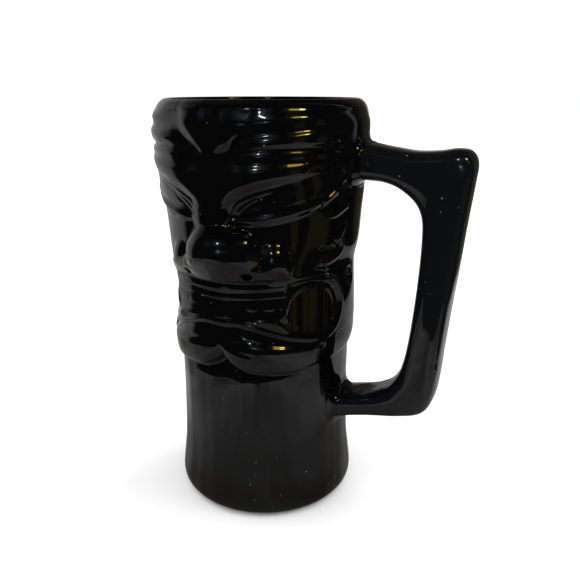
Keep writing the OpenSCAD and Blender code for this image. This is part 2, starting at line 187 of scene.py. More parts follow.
# ---------------------------------------------------------------- the face
# Places on the face are (t, z): t is degrees round from the nose, z is height in mm.
# LINES run round the head, from the waist up, as (t, z, radius). Between two lines the surface is
# a smooth curve, so each line is a crest, a valley or a shoulder.
LINES = {
    "waist": [(0, 54.5, 33.0), (BACK, 54.5, 33.0)],
    "chin_foot": [(0, 56.5, 32.9), (20, 56.0, 32.95), (30, 56.0, 33.0), (BACK, 56.0, 33.0)],
    "under_lip": [(0, 62.9, 32.1), (4, 61.4, 32.1), (12, 59.3, 32.4), (20, 58.3, 32.7),
                  (30, 57.9, 32.92), (45, 57.8, 33.0), (60, 59.0, 33.0), (BACK, 59.0, 33.0)],
    "lip_corner": [(0, 64.2, 32.0), (4, 62.7, 32.0), (12, 60.5, 32.3), (20, 59.5, 32.6),
                   (30, 59.1, 32.85), (45, 59.0, 32.95), (60, 60.4, 33.0), (BACK, 60.6, 33.0)],
    "lip_shoulder": [(0, 66.4, 34.3), (4, 65.2, 35.3), (12, 62.8, 36.3), (20, 61.8, 36.2),
                     (40, 61.2, 35.6), (56, 62.0, 34.5), (70, 62.6, 34.2), (BACK, 64.0, 34.3)],
    "lip_crest": [(0, 70.2, 36.9), (5, 69.4, 37.1), (14, 69.2, 37.5), (28, 68.9, 37.3),
                  (42, 68.3, 36.3), (56, 67.5, 34.9), (70, 67.5, 34.7), (BACK, 69.5, 35.2)],
    "lip_round": [(0, 72.4, 36.5), (5, 72.0, 36.7), (14, 71.7, 37.15), (28, 70.5, 37.0),
                  (42, 69.2, 36.1), (56, 68.4, 34.8), (70, 69, 34.7), (BACK, 71, 35.2)],
    "lip_brow": [(0, 74.2, 36.0), (5, 73.9, 36.0), (14, 73.3, 36.1), (28, 71.9, 35.9),
                 (42, 70.6, 35.1), (56, 69.6, 34.5), (70, 70.4, 34.7), (BACK, 72.4, 35.2)],
    "lip_top": [(0, 78.5, 35.6), (10, 78.6, 35.6), (20, 77.2, 35.5), (30, 75.2, 35.2), (40, 73.4, 34.8),
                (50, 72.0, 34.4), (60, 71.0, 34.1), (75, 72, 34.8), (BACK, 74, 35.3)],
    "mouth": [(0, 87, 35.9), (20, 87, 35.8), (40, 85, 35.4), (56, 83, 34.8), (75, 83, 35.1),
              (BACK, 83, 35.0)],
    "nose_base": [(0, 95.3, 36.0), (20, 95.3, 36.0), (40, 95.3, 35.8), (56, 95.3, 34.2), (75, 96, 34.8),
                  (BACK, 95, 34.6)],
    "cheek": [(0, 105, 36.8), (20, 105, 36.8), (40, 105.5, 36.3), (56, 106, 35.5), (72, 106, 36.1),
              (BACK, 104, 36.2)],
    "lid_foot": [(0, 113.4, 37.2), (10, 114.2, 37.0), (20, 113.5, 37.2), (30, 113.9, 37.1),
                 (40, 115.1, 36.8), (50, 117.0, 36.7), (60, 120.2, 37.2), (72, 121, 37.4),
                 (BACK, 115, 37.0)],
    "lid_crest": [(0, 116, 37.7), (10, 115.7, 38.0), (20, 116.0, 38.1), (30, 117.0, 38.2),
                  (40, 118.1, 38.1), (50, 119.7, 38.0), (60, 121.9, 38.2), (72, 124, 38.0),
                  (BACK, 121, 37.5)],
    "lid_back": [(0, 117, 37.6), (10, 116.3, 37.3), (20, 116.9, 37.5), (30, 118.1, 37.65),
                 (40, 119.4, 37.7), (50, 121.2, 37.8), (60, 123.4, 37.8), (72, 125.5, 37.8),
                 (BACK, 122.6, 37.6)],
    "brow_foot": [(0, 121, 38.2), (5, 118.8, 37.9), (8, 119.6, 38.1), (12, 121.6, 38.35),
                  (20, 124.5, 38.55), (30, 126.6, 38.7), (40, 128.3, 38.9), (50, 129.7, 38.8),
                  (60, 129.8, 38.5), (75, 128.6, 38.2), (BACK, 129, 38.1)],
    "brow_edge": [(0, 124, 38.8), (5, 120.6, 38.9), (7, 122.6, 39.6), (9, 124.4, 40.2), (13, 126.4, 40.7),
                  (20, 128.2, 40.8), (30, 129.6, 40.5), (40, 130.4, 40.0), (50, 130.9, 39.3),
                  (60, 131.0, 38.9), (75, 130.4, 38.5), (BACK, 131.2, 38.3)],
    "brow_crest": [(0, 129, 39.4), (6, 129.4, 40.2), (14, 131.0, 41.1), (24, 131.6, 41.1),
                   (40, 132.4, 40.3), (55, 133.2, 39.5), (75, 132.4, 38.8), (BACK, 134, 38.5)],
    "groove_1": [(0, 134.2, 38.6), (8, 133.8, 39.5), (20, 134.3, 40.0), (30, 134.5, 39.8),
                 (45, 134.7, 39.3), (60, 134.8, 39.2), (75, 134.0, 38.7), (BACK, 136.5, 38.6)],
    "roll_1": [(0, 135.6, 38.6), (12, 135.8, 39.5), (20, 136.0, 40.1), (30, 136.2, 40.1),
               (45, 136.4, 39.65), (60, 136.6, 39.4), (75, 135.6, 38.9), (BACK, 138.5, 38.7)],
    "groove_2": [(0, 137, 38.8), (12, 137.4, 39.2), (20, 137.9, 39.4), (30, 138.4, 39.4),
                 (45, 138.4, 38.9), (60, 138.0, 38.5), (75, 137.2, 38.6), (BACK, 140.2, 38.7)],
    "roll_2_foot": [(0, 138.2, 39.0), (16, 138.4, 39.5), (25, 139.2, 39.95), (35, 139.6, 40.0),
                    (45, 139.8, 39.7), (60, 140.2, 39.7), (75, 139.0, 39.2), (BACK, 141.6, 38.9)],
    "roll_2": [(0, 139.5, 39.2), (16, 139.8, 39.6), (25, 140.4, 40.2), (35, 141.1, 40.3),
               (45, 142.0, 40.15), (60, 142.4, 39.9), (75, 141.5, 39.2), (BACK, 143.5, 38.9)],
    "groove_3": [(0, 142, 39.3), (16, 142.0, 39.0), (24, 142.8, 39.1), (32, 143.6, 39.2),
                 (45, 144.4, 39.1), (60, 145.2, 39.0), (78, 144.6, 39.0), (BACK, 145.6, 38.8)],
    "roll_3": [(0, 146, 39.1), (20, 145.6, 39.3), (30, 146.2, 39.6), (45, 146.8, 39.5), (60, 147.2, 39.2),
               (78, 147.2, 38.6), (BACK, 147.6, 38.3)],
    "rim_shoulder": [(0, 150.3, 37.6), (30, 150.3, 37.8), (60, 150.3, 37.6), (BACK, 150.3, 37.5)],
}
LINE_GAP = 0.35                   # the least height between two lines
BROW_FACET = ((0.9, 0.94), (0.1, 0.06))     # (share of the height, share of the radius)

FOREHEAD_EDGE = [(0, 135.4), (5, 137.2), (9.5, 139.0), (13.5, 141.4), (17.5, 143.8), (20.5, 146.4),
                 (23, 150), (24, 154)]
EYEBALL = [(17, 119.2), (22, 121.6), (28, 124.0), (36, 125.6), (46, 126.4), (54, 126.0), (58, 124.6),
           (52, 122.6), (44, 121.0), (36, 120.0), (26, 119.2)]
UPPER_LID = [(9.8, 115.4), (10.4, 118.0), (13.5, 121.2), (18, 122.8), (24, 124.3), (30, 125.3), (37, 126.2)]
# Ridges beside the eye and on the cheek, and grooves, whose height is negative:
# (height, half-width, path).
FOLDS = [
    (0.25, 0.7, [(12.5, 117.6), (15, 119.6), (19, 121.6), (24, 123.4)]),
    (0.5, 1.2, [(56, 119.0), (60, 121.2), (65, 124.0), (69, 126.4), (74, 129.2)]),
    (0.6, 1.1, [(63, 115.0), (68, 115.8), (72, 116.9), (78, 118.4)]),
    (1.0, 1.5, [(76.5, 112.5), (74, 110), (71, 107.6), (68, 106.4)]),
    (1.1, 1.6, [(71, 107.6), (74.5, 104.6), (73, 101.4), (67, 99.6), (60, 98.6)]),
    (-0.7, 1.6, [(69, 104.6), (64, 103.4), (57, 103.8)]),
    (-0.9, 1.7, [(56, 96.8), (61, 96.0), (66, 94.6)]),
]
MOUTH = [(-24, 79.1), (0, 79.7), (10, 80.0), (20, 78.5), (30, 76.4), (40, 74.3), (50, 72.7), (60, 71.6),
         (66, 71.8), (72, 73.8), (76, 78), (77, 82.5), (75.5, 87), (71.5, 91), (66, 93.4), (58, 94.6),
         (48, 94.6), (30, 93.9), (15, 93.9), (0, 93.6), (-24, 93.0)]
MOUTH_EDGE = [(0, 80.5), (10, 80.3), (20, 78.9), (30, 76.9), (40, 74.8), (BACK, 74)]
MOUTH_WEDGE = [(10, 80.6), (20, 80.9), (29, 80.6), (34, 79.6), (37.5, 77.6), (40, 75.0), (30, 77.0),
               (20, 79.0)]
POUCH_DEPTH = [(0, 34.2), (40, 34.2), (55, 33.5), (64, 33.5), (72, 34.0), (BACK, 34.2)]
# The recess in front of and above the teeth, as (z, radius).
TOOTH_ROW = [(78, 35.6), (80, 35.75), (84, 35.68), (87.6, 35.58), (88.0, 35.68), (90.4, 35.66),
             (90.8, 35.9), (93.4, 36.0), (95.5, 36.0)]
TOOTH_START, TOOTH_WIDTH = 5.4, 9.0     # degrees
POUCH_RIDGES = [
    (0.55, 1.3, [(36, 80), (37.5, 84), (40, 87.6), (44, 90), (50, 91.4), (58, 91.8)]),
    (0.45, 1.2, [(65, 90.4), (69.5, 87.4), (72, 83.6), (72.4, 79.6), (70, 76)]),
]
LIP_LINE = [(1.0, 71.4), (4, 69.8), (9, 68.2), (14, 67.3), (21, 66.5)]
LIP_CREASE = [(12, 74.6), (15, 73.0), (20, 72.2)]
LIP_CURL = [(57, 68.6), (60, 70), (63, 68.6), (60, 67.2), (57, 68.4)]
NOSE_BASE = [(0, 43), (14, 41.4), (19, 40.6), (23, 40.0), (31, 39.6), (35, 39.0), (38, 37.9), (41, 36.6),
             (45, 34), (BACK, 20)]
NOSE_TOP = [(0, 102.5), (14, 102.0), (17.5, 101.0), (20, 98.6), (BACK, 98.4)]
NOSE_UNDER = [(0, 39.7), (8, 39.1), (15, 37.7), (21, 37.0), (30, 36.8), (38, 36.3), (BACK, 36)]
NOSTRIL = [(16.2, 96.9), (17.8, 96.9)]
EAR_HOLE = [(86.5, 92.4), (88.5, 90.2)]


def head(t, z):
    """The head lofted through LINES. t is a row of columns, z a column of rows."""
    names = list(LINES)
    zs = np.array([along([(p[0], p[1]) for p in LINES[n]], t) for n in names])
    rs = np.array([along([(p[0], p[2]) for p in LINES[n]], t) for n in names])
    for i in range(1, len(names)):
        zs[i] = np.maximum(zs[i], zs[i - 1] + LINE_GAP)
    # The brow's underside is one straight facet from its foot to its edge.
    k = names.index("brow_foot")
    foot_z, foot_r = zs[k], rs[k]
    to_edge_z, to_edge_r = zs[k + 1] - foot_z, rs[k + 1] - foot_r
    for share, rise in BROW_FACET:
        zs = np.insert(zs, k + 1, foot_z + share * to_edge_z, axis=0)
        rs = np.insert(rs, k + 1, foot_r + rise * to_edge_r, axis=0)
    return np.stack([monotone(zs[:, j], rs[:, j], z) for j in range(len(t))], -1)


def forehead(r, T, Z, X, right):
    """A raised panel with a V-shaped lower edge and a moat round it."""
    edge = to_path(FOREHEAD_EDGE)
    d, _ = path_distance(edge, X, Z)
    inside = X < np.interp(Z, edge[:, 1], edge[:, 0])
    d = np.where(inside & (Z > FOREHEAD_EDGE[0][1]), d, -d)
    panel = 39.5 + 0.5 * smooth(136, 142, Z) - 1.7 * smooth(145, 151.5, Z) - 0.006 * X * X
    hem = smooth(151.5, 149, Z) * smooth(1.5, 7, T)
    r = np.where(Z > 128, r + (panel - r) * smooth(-0.8, 2.6, d) * hem, r)
    beyond = np.minimum(d, 0)
    if right:
        moat = smooth(17, 11, T) * ridge(beyond + 0.7, 6) * smooth(1.6, -0.7, d) * smooth(152, 147, Z)
    else:
        moat = 0.8 * ridge(beyond + 0.9, 8) * smooth(3.8, -0.9, d) * smooth(153, 149, Z)
    channel = 0.25 * ridge(T, 3) * ridge(Z - 125, 7)
    return r - moat * hem - channel


def eye(r, X, Z):
    """The ball between its lids, the ridge of the upper lid, and the folds round it."""
    ball = inside_distance(EYEBALL, X, Z)
    r = np.where(ball > 0, r + 0.2 * np.sqrt(smooth(0, 1.4, ball)), r)
    r = r + 0.4 * stroke(0.65, UPPER_LID, X, Z, 0.03, 0.5)
    for height, half, points in FOLDS:
        r = r + height * stroke(half, points, X, Z)
    return r


def mouth(r, T, Z, X):
    """Under a thin double upper lip a shallow recess with a row of teeth, and a round pouch at each end."""
    m = inside_distance(MOUTH, X, Z)
    middle = smooth(42, 36, T)
    pouch = np.minimum(along(POUCH_DEPTH, T) - 0.03 * (Z - 82), r)
    row = monotone_along(TOOTH_ROW, Z - 0.03 * T) - 0.4 * smooth(20, 40, T)
    sunk = (pouch - r) * (1 - middle) + (row - r) * middle
    r = r + sunk * np.where(T < 38, smooth(0, 0.9, m), smooth(0, 2.0, m))
    lip = 0.75 * ridge(m + 0.5, 1.0) - 0.2 * ridge(m + 0.45, 0.35)
    r = r + lip * np.where(Z > 88, smooth(42, 52, T), 1)
    for height, half, points in POUCH_RIDGES:
        r = r + height * stroke(half, points, X, Z)
    wedge = inside_distance(MOUTH_WEDGE, X, Z)
    r = r + 0.2 * np.clip(Z - along(MOUTH_EDGE, T), 0, 4) * smooth(0, 0.5, wedge)
    tooth = np.abs(np.sin(np.radians((T - TOOTH_START) / TOOTH_WIDTH * 180))) ** 0.5
    teeth = smooth(83.8, 84.8, Z - 1.0 * (1 - tooth)) * smooth(87.6, 86.0, Z) * tooth
    return r + 0.14 * teeth * middle * smooth(8, 16, T)


def chin(r, T, Z, X, right):
    """The cleft in the chin, the lines on the lip, and the curl at its end."""
    r = r - 0.5 * ridge(T, 3.0) * smooth(71.5, 69.5, Z) * smooth(63, 66, Z)
    if right:
        r = r + 0.45 * stroke(1.2, LIP_LINE, X, Z, 0.3, 0.3)
        r = r + 0.3 * stroke(0.9, LIP_CREASE, X, Z)
    return r + 0.7 * stroke(1.1, LIP_CURL, X, Z, 0.01, 0.01)


def left_temple(r, T, Z):
    """The left temple is pressed in between its locks."""
    r = r - 0.9 * ridge(Z - 146, 4.5) * ridge(T - 33, 15)
    return r - 0.5 * ridge(Z - 139.3, 2.0) * ridge(T - 27, 10)


def nose(r, T, Z, X, right):
    """Bridge, bulb and wings, cut below by one sloping underside with the nostrils in it."""
    bridge = ellipsoid(T, Z, 0, 34.6, 117, 5.4 if right else 8.5, 5.6, 15)
    bulb = ellipsoid(T, Z, 0, 34.6, 104.6, 11.8 if right else 11.0, 11.4, 10.4)
    base = along(NOSE_BASE, T)
    if right:
        bulb = blend_max(bulb, ellipsoid(T, Z, 12.5, 35.0, 104.4, 7.4, 7.6, 8.6), 3.0)
        wing = ellipsoid(T, Z, 30.5, 33.2, 100.6, 7.0, 6.8, 8.2)
    else:
        wing = ellipsoid(T, Z, 27, 32.8, 100.4, 6.0, 5.6, 7.4)
        base = base - 1.6 * smooth(20, 32, T)
    base = base - 0.5 * np.maximum(Z - along(NOSE_TOP, T), 0) ** 1.5
    body = blend_max(blend_max(blend_max(bulb, bridge, 3.0), wing, 4.0), base, 1.5)
    body = blend_max(body, r, 1.6)
    under = along(NOSE_UNDER, T) + 0.74 * (Z - 95.2)
    body = blend_min(body, np.maximum(under, r), 1.0)
    body = np.where(Z > 95, body, r + (body - r) * smooth(94.2, 95, Z))
    r = np.where(Z > 94, body, r)
    pit, _ = path_distance(to_path(NOSTRIL), X, Z)
    return r - 2.3 * smooth(1.35, 0.3, pit)


def ear(r, T, Z, X):
    """The ear flap and its round hole."""
    r = r + 0.5 * ridge(T - 92, 18) * smooth(61, 68, Z) * smooth(112, 100, Z)
    hole, _ = path_distance(to_path(EAR_HOLE), X, Z)
    return r - 1.9 * smooth(2.5, 0.8, hole)


def face(t, z, right):
    """Radius of the cup's outside on one half of the face band, for t >= 0. The halves aren't quite alike."""
    T, Z = np.meshgrid(t, z)
    X = T * DEG
    r = forehead(head(t, z), T, Z, X, right)
    r = mouth(eye(r, X, Z), T, Z, X)
    r = chin(r, T, Z, X, right)
    if not right:
        r = left_temple(r, T, Z)
    return ear(nose(r, T, Z, X, right), T, Z, X)


def glaze_blur(a):
    """Rounds the relief as a coat of glaze does. a has a row per height and a column per azimuth."""
    for axis, spread, mode in ((0, GLAZE_ROWS, "edge"), (1, GLAZE_COLUMNS, "wrap")):
        n = max(1, int(3 * spread))
        k = np.exp(-0.5 * (np.arange(-n, n + 1) / spread) ** 2)
        pad = [(0, 0), (0, 0)]
        pad[axis] = (n, n)
        p = np.pad(a, pad, mode=mode)
        a = sum(w * np.take(p, range(i, i + a.shape[axis]), axis=axis) for i, w in enumerate(k / k.sum()))
    return a


def face_band():
    """Azimuths, heights, and the radius of the cup's outside at each, over the face band."""
    azimuths = np.arange(0, 360, COLUMN_STEP)
    t = np.abs(np.where(azimuths > 180, azimuths - 360, azimuths))
    z = np.arange(BAND_LOW, BAND_HIGH + 0.01, ROW_STEP)
    half = np.arange(0, BACK + COLUMN_STEP, COLUMN_STEP)
    column = np.minimum((t / COLUMN_STEP).astype(int), len(half) - 1)
    r = np.where(azimuths <= 180, face(half, z, True)[:, column], face(half, z, False)[:, column])
    plain = head(np.array([BACK]), z)
    return azimuths, z, glaze_blur(plain + (r - plain) * smooth(BACK, BACK - FADE, t))


# ---------------------------------------------------------------- meshes
def make_mesh(name, verts, faces):
    """A smooth-shaded object, from points in mm."""
    me = bpy.data.meshes.new(name)
    me.from_pydata([tuple(v) for v in verts * MM], [], faces)
    me.validate()
    me.polygons.foreach_set("use_smooth", [True] * len(me.polygons))
    me.update()
    ob = bpy.data.objects.new(name, me)
    bpy.context.collection.objects.link(ob)
    return ob


def ring_faces(rows, n, closed=False):
    """Quads between successive rings of n points. closed joins the last ring to the first."""
    j, i = np.meshgrid(np.arange(rows if closed else rows - 1), np.arange(n), indexing="ij")
    right, above = (i + 1) % n, (j + 1) % rows
    quads = np.stack([j * n + i, j * n + right, above * n + right, above * n + i], -1)
    return quads.reshape(-1, 4).tolist()


def skinned(name, rings, first_tip, last_tip):
    """Rings of points skinned together, and closed to a point at each end."""
    n = len(rings[0])
    tip = len(rings) * n
    last = tip - n
    faces = ring_faces(len(rings), n)
    faces += [(tip, (i + 1) % n, i) for i in range(n)]
    faces += [(tip + 1, last + i, last + (i + 1) % n) for i in range(n)]
    return make_mesh(name, np.vstack(rings + [[first_tip, last_tip]]), faces)


def outward(ob):
    """Turns the faces outwards."""
    bm = bmesh.new()
    bm.from_mesh(ob.data)
    bmesh.ops.recalc_face_normals(bm, faces=bm.faces)
    if bm.calc_volume(signed=True) < 0:
        bmesh.ops.reverse_faces(bm, faces=bm.faces)
    bm.to_mesh(ob.data)
    bm.free()


def turn(mid_r, mid_z, radius, start, end, count):
    """(radius, z) of rings round part of a circle. Angles are in degrees from straight down, outwards."""
    a = np.radians(np.linspace(start, end, count))
    return list(zip(mid_r + radius * np.sin(a), mid_z - radius * np.cos(a)))


def build_cup(azimuths, face_z, face_r):
    """The cup as one closed surface, from its underside, over the lip, to the cavity's floor."""
    rows = [(r, RECESS_H) for r in (2, 8, 16, 22, 24.8)]
    rows += turn(RECESS_R - 1.6, RECESS_H - RECESS_ROUND, RECESS_ROUND, 180, 90, 7)
    rows += turn(RECESS_R + RECESS_EDGE, RECESS_EDGE, RECESS_EDGE, -90, 0, 6)
    rows += [(FOOT_RING_R, 0)]
    rows += turn(FOOT_R - FOOT_CORNER, FOOT_CORNER, FOOT_CORNER, 0, 90, 13)
    rows += list(catmull([(FOOT_R, FOOT_CORNER)] + LOWER_SIDE, 8))[3:-1]
    rows += list(zip(face_r, face_z))
    lip_in = CAVITY[-1][1]
    rows += [(lip_in + (face_r[-1] - lip_in) * u, min(z, CUP_H)) for u, z in catmull(LIP, 5)[1:]]
    cavity_z, cavity_r = zip(*CAVITY)
    for z in np.hstack([np.linspace(150.4, 60, 40), np.linspace(57, 15, 12)]):
        rows.append((np.interp(z, cavity_z, cavity_r), z))
    rows += turn(cavity_r[0] - FLOOR_ROUND, FLOOR_Z + FLOOR_ROUND, FLOOR_ROUND, 90, 0, 14)
    rows += [(r, FLOOR_Z) for r in (16, 10, 5, 2)]
    a = np.radians(azimuths)
    rings = [np.stack([r * np.sin(a), -r * np.cos(a), np.full(len(a), z)], -1) for r, z in rows]
    return skinned("mug_cup", rings, (0, 0, RECESS_H), (0, 0, FLOOR_Z))


# Handle: (x, z) down its outer and its inner edge, from the upper root to the lower one.
HANDLE_T = 18.0
OUTER_EDGE = [(42, 138.6), (49, 137.4), (57, 136.5), (64.5, 136.9), (70.5, 137.8), (74.8, 137.0),
              (77.0, 133.2), (76.6, 126.5), (75.1, 112), (73.7, 96), (72.3, 82), (71.1, 68), (70.2, 56),
              (69.0, 48), (65.6, 42.4), (57.5, 39.8), (47, 38), (38, 36)]
INNER_EDGE = [(42, 126.2), (47, 125.9), (51.5, 124.6), (55.0, 122.4), (57.9, 119.8), (59.7, 117),
              (60.7, 113.8), (61.1, 109.5), (61.1, 102), (60.7, 92), (59.9, 81), (58.8, 70), (57.5, 62),
              (55.6, 56), (52.2, 51), (48, 48), (43.5, 46.2), (38, 45.0)]
UPPER_ROOT = (138.9, 126.2)       # the heights of a root's outer and inner edge
LOWER_ROOT = (35.0, 44.4)
HANDLE_AZIMUTH = 90
SIDES = 96                        # points round the handle
SQUARENESS = 3.4                  # exponent of the section's superellipse: 2 would be a plain ellipse
BEAD = 3.0                        # how far a bead reaches along the cup and along the handle
BEAD_SKIN = 0.03                  # how far the bead stands out at its thin edges
INNER_END = 3.5                   # how far the lower root's last ring is drawn in
HANDLE_STEPS = 16


def section_unit():
    """The handle's section, with half-widths of 1."""
    a = np.linspace(0, 2 * math.pi, SIDES, endpoint=False)
    p = 2 / SQUARENESS
    return np.sign(np.cos(a)) * np.abs(np.cos(a)) ** p, np.sign(np.sin(a)) * np.abs(np.sin(a)) ** p


def side_radius(z, side):
    """Radius of the cup's outside at the handle. side is the heights and radii of the face band there."""
    low_r, low_z = zip(*LOWER_SIDE)
    return np.where(z < BAND_LOW, np.interp(z, low_z, low_r), np.interp(z, *side))


def root_ring(root, grow, out, side):
    """The section at a root, grown by grow, lying on the cup's round side or standing out from it."""
    u, v = section_unit()
    z = (root[0] + root[1]) / 2 + (abs(root[0] - root[1]) / 2 + grow) * u * np.sign(root[0] - root[1])
    y = (HANDLE_T / 2 + grow) * v
    r = side_radius(z, side) + out
    return np.stack([np.sqrt(r * r - y * y), y, z], -1)


def build_handle(side):
    """Skinned from the upper root's middle to the lower root's, both on the cup's side."""
    u, v = section_unit()
    rings = [root_ring(UPPER_ROOT, -g, 0, side) for g in (6.0, 4, 2)]
    rings += [root_ring(UPPER_ROOT, 0, o, side) for o in (0, BEAD / 2, BEAD)]
    for outer, inner in zip(catmull(OUTER_EDGE, HANDLE_STEPS), catmull(INNER_EDGE, HANDLE_STEPS)):
        mid, half = (outer + inner) / 2, (outer - inner) / 2
        rings.append(np.stack([mid[0] + half[0] * u, v * HANDLE_T / 2, mid[1] + half[1] * u], -1))
    rings += [root_ring(LOWER_ROOT, 0, o, side) for o in (BEAD, BEAD / 2, 0)]
    rings += [root_ring(LOWER_ROOT, -g, 0, side) for g in (2, INNER_END)]
    tips = [(float(side_radius(z, side)), 0, z) for z in (sum(UPPER_ROOT) / 2, sum(LOWER_ROOT) / 2)]
    return skinned("mug_handle", rings, *tips)


def build_bead(name, root, side):
    """A concave fillet of slip in the corner between the cup and a root of the handle."""
    rings = [root_ring(root, 0, 0, side), root_ring(root, BEAD, 0, side)]
    reach = BEAD - BEAD_SKIN
    for a in np.radians(np.linspace(0, 90, 10)):
        rings.append(root_ring(root, BEAD - reach * math.sin(a), BEAD_SKIN + reach * (1 - math.cos(a)), side))
    return make_mesh(name, np.vstack(rings), ring_faces(len(rings), SIDES, closed=True))


# ---------------------------------------------------------------- materials
GLAZE_IOR = 1.45
GLAZE_ROUGHNESS, CLAY_ROUGHNESS = 0.04, 0.8
DUST_COLOUR = (0.24, 0.24, 0.25, 1)
CLAY_COLOUR = (0.52, 0.40, 0.29, 1)
RUN_DEPTH, WAVE_DEPTH = 0.0010, 0.00006     # metres
DUST_CELLS = 560                            # cells to a metre


def glaze_material(name, base, clean):
    """Black glaze that has run a little, with settled dust, and bare clay where the foot ring was wiped.

    base is the colour under the reflections; clean, 0 to 1, is how much of the surface has no dust."""
    mat = bpy.data.materials.new(name)
    mat.use_nodes = True
    nt = mat.node_tree
    bsdf = nt.nodes["Principled BSDF"]
    bsdf.inputs["IOR"].default_value = GLAZE_IOR
    position = nt.nodes.new("ShaderNodeTexCoord").outputs["Object"]

    def value(kind, settings, inputs, output):
        n = nt.nodes.new(kind)
        for key, v in settings.items():
            setattr(n, key, v)
        for key, v in inputs.items():
            if isinstance(v, bpy.types.NodeSocket):
                nt.links.new(v, n.inputs[key])
            else:
                n.inputs[key].default_value = v
        return n.outputs[output]

    def noise(stretch, scale, detail):
        at = value("ShaderNodeMapping", {}, {"Vector": position, "Scale": (1, 1, stretch)}, "Vector")
        return value("ShaderNodeTexNoise", {}, {"Vector": at, "Scale": scale, "Detail": detail}, "Fac")

    def ranged(v, low, high, to_low=0.0, to_high=1.0):
        return value("ShaderNodeMapRange", {"clamp": True}, {"Value": v, "From Min": low, "From Max": high,
                                                             "To Min": to_low, "To Max": to_high}, "Result")

    def product(a, b):
        return value("ShaderNodeMath", {"operation": "MULTIPLY"}, {0: a, 1: b}, "Value")

    def bump(height, depth, **below):
        inputs = {"Height": height, "Strength": 1.0, "Distance": depth, **below}
        return value("ShaderNodeBump", {}, inputs, "Normal")

    def mixed(share, one, two):
        return value("ShaderNodeMixRGB", {}, {"Fac": share, "Color1": one, "Color2": two}, "Color")

    # Runs in the glaze of the plain body, and a faint waviness everywhere.
    height = value("ShaderNodeSeparateXYZ", {}, {"Vector": position}, "Z")
    plain = ranged(height, 0.052, 0.064, 1.0, 0.12)
    runs = bump(product(noise(0.10, 120, 1.0), plain), RUN_DEPTH)
    nt.links.new(bump(noise(1, 95, 1.0), WAVE_DEPTH, Normal=runs), bsdf.inputs["Normal"])
    # Dust: a few of the cells of a fine pattern hold a pale speck.
    cells = nt.nodes.new("ShaderNodeTexVoronoi")
    nt.links.new(position, cells.inputs["Vector"])
    cells.inputs["Scale"].default_value = DUST_CELLS
    speck = ranged(cells.outputs["Distance"], 0.16, 0.07)
    draw = value("ShaderNodeSeparateColor", {}, {"Color": cells.outputs["Color"]}, "Red")
    patch = ranged(noise(1, 38, 2.0), clean, clean + 0.16)
    dust = product(product(speck, ranged(draw, 0.90, 0.99)), patch)
    # Bare clay on the ring that stands on the table.
    clay = ranged(height, 0.00035, 0.0001)
    colour = mixed(clay, mixed(dust, base + (1,), DUST_COLOUR), CLAY_COLOUR)
    nt.links.new(colour, bsdf.inputs["Base Color"])
    nt.links.new(ranged(clay, 0, 1, GLAZE_ROUGHNESS, CLAY_ROUGHNESS), bsdf.inputs["Roughness"])
    return mat


# ---------------------------------------------------------------- stage
# Metres and degrees. Azimuth 0 is in front of the face, 90 is the handle's side.
CAMERA_AZIMUTH, CAMERA_BACK, CAMERA_Z = 26.0, 0.2336, 0.1567
CAMERA_PITCH, CAMERA_YAW = 18.14, 2.42
CAMERA_LENS, CAMERA_SENSOR = 38.48276, 36
MIDDLE = (0, 0, 0.1)              # the point that the lamps face
TABLE_EDGE = 0.195                # how far the pale table goes on in front of the mug, before the dark room
FLOOR = 4.0                       # half the width of the floor
FLOOR_DROP = 0.1 * MM             # how far the wide floor lies below the sheet that the glaze mirrors
FLOOR_WHITE = (0.92, 0.92, 0.92, 1)
# Colours that only the glaze sees on the floor sheet: painted shade, dark and pale blotches standing in for
# the table's shadows in the reflection.
FLOOR_SHADE_PATCHES = [(0.34, (0.13, 0.12, 0.105)), (0.62, (0.36, 0.355, 0.36))]

# What the glaze mirrors round the mug: (degrees round from the camera, brightness or colour).
BROWN, WOOD = (0.13, 0.105, 0.035), (0.15, 0.10, 0.045)
SURROUND = [(-180, 0.10), (-150, 0.55), (-108, 0.62), (-98, 0.012), (122, 0.012),
            (130, (0.06, 0.05, 0.036)), (168, (0.10, 0.085, 0.068)), (180, (0.12, 0.10, 0.08))]
BEHIND = [(-180, 0.32), (-150, 0.0), (150, 0.0), (160, 0.32), (180, 0.32)]
DOORWAY = [(108, 0.0), (110, 0.36), (113, 0.36), (115, 0.0)]
SHELVES = [(37, 0.0), (39, BROWN), (46, BROWN), (48, 0.0), (60, 0.0), (62, WOOD), (65, BROWN),
           (69, BROWN), (71, 0.0)]
# Each of them is multiplied by a ramp over the height, which is 0 straight down and 1 straight up.
SURROUND_HEIGHT = [(0.66, 1.0), (0.88, 0.06)]
BEHIND_HEIGHT = [(0.49, 0.0), (0.50, 1.0), (0.55, 1.0), (0.59, 0.0)]
DOORWAY_HEIGHT = [(0.455, 0.0), (0.47, 1.0)]
SHELVES_HEIGHT = [(0.43, 1.0), (0.47, 0.0)]
# Soft glows on the wall behind the lamps: azimuth, elevation, spread, colour.
GLOWS = [(21, 15, 13, (0.8, 1.0, 1.25)), (-22, 40, 20, (0.14, 0.17, 0.20)),
         (17, 46, 16, (0.7, 0.85, 1.0)), (70, 45, 16, (0.9, 0.62, 0.10))]
# Lamps: name, azimuth, elevation, distance, width, height, radiance, colour.
LAMPS = [("white_lamp", 17, 46, 1.5, 0.12, 0.10, 40, (1, 1, 1)),
         ("low_lamp", 21, 16, 1.5, 0.06, 0.06, 14, (0.92, 0.95, 1)),
         ("warm_lamp", 76, 44, 1.48, 0.14, 0.13, 36, (1, 0.80, 0.26)),
         ("warm_shade", 70, 45, 1.5, 0.36, 0.26, 8, (1, 0.70, 0.10))]
# Soft suns: name, strength, azimuth, elevation, spread.
SUNS = [("key_sun", 1.7, 125, 50, 50), ("fill_sun", 0.9, -65, 55, 50)]


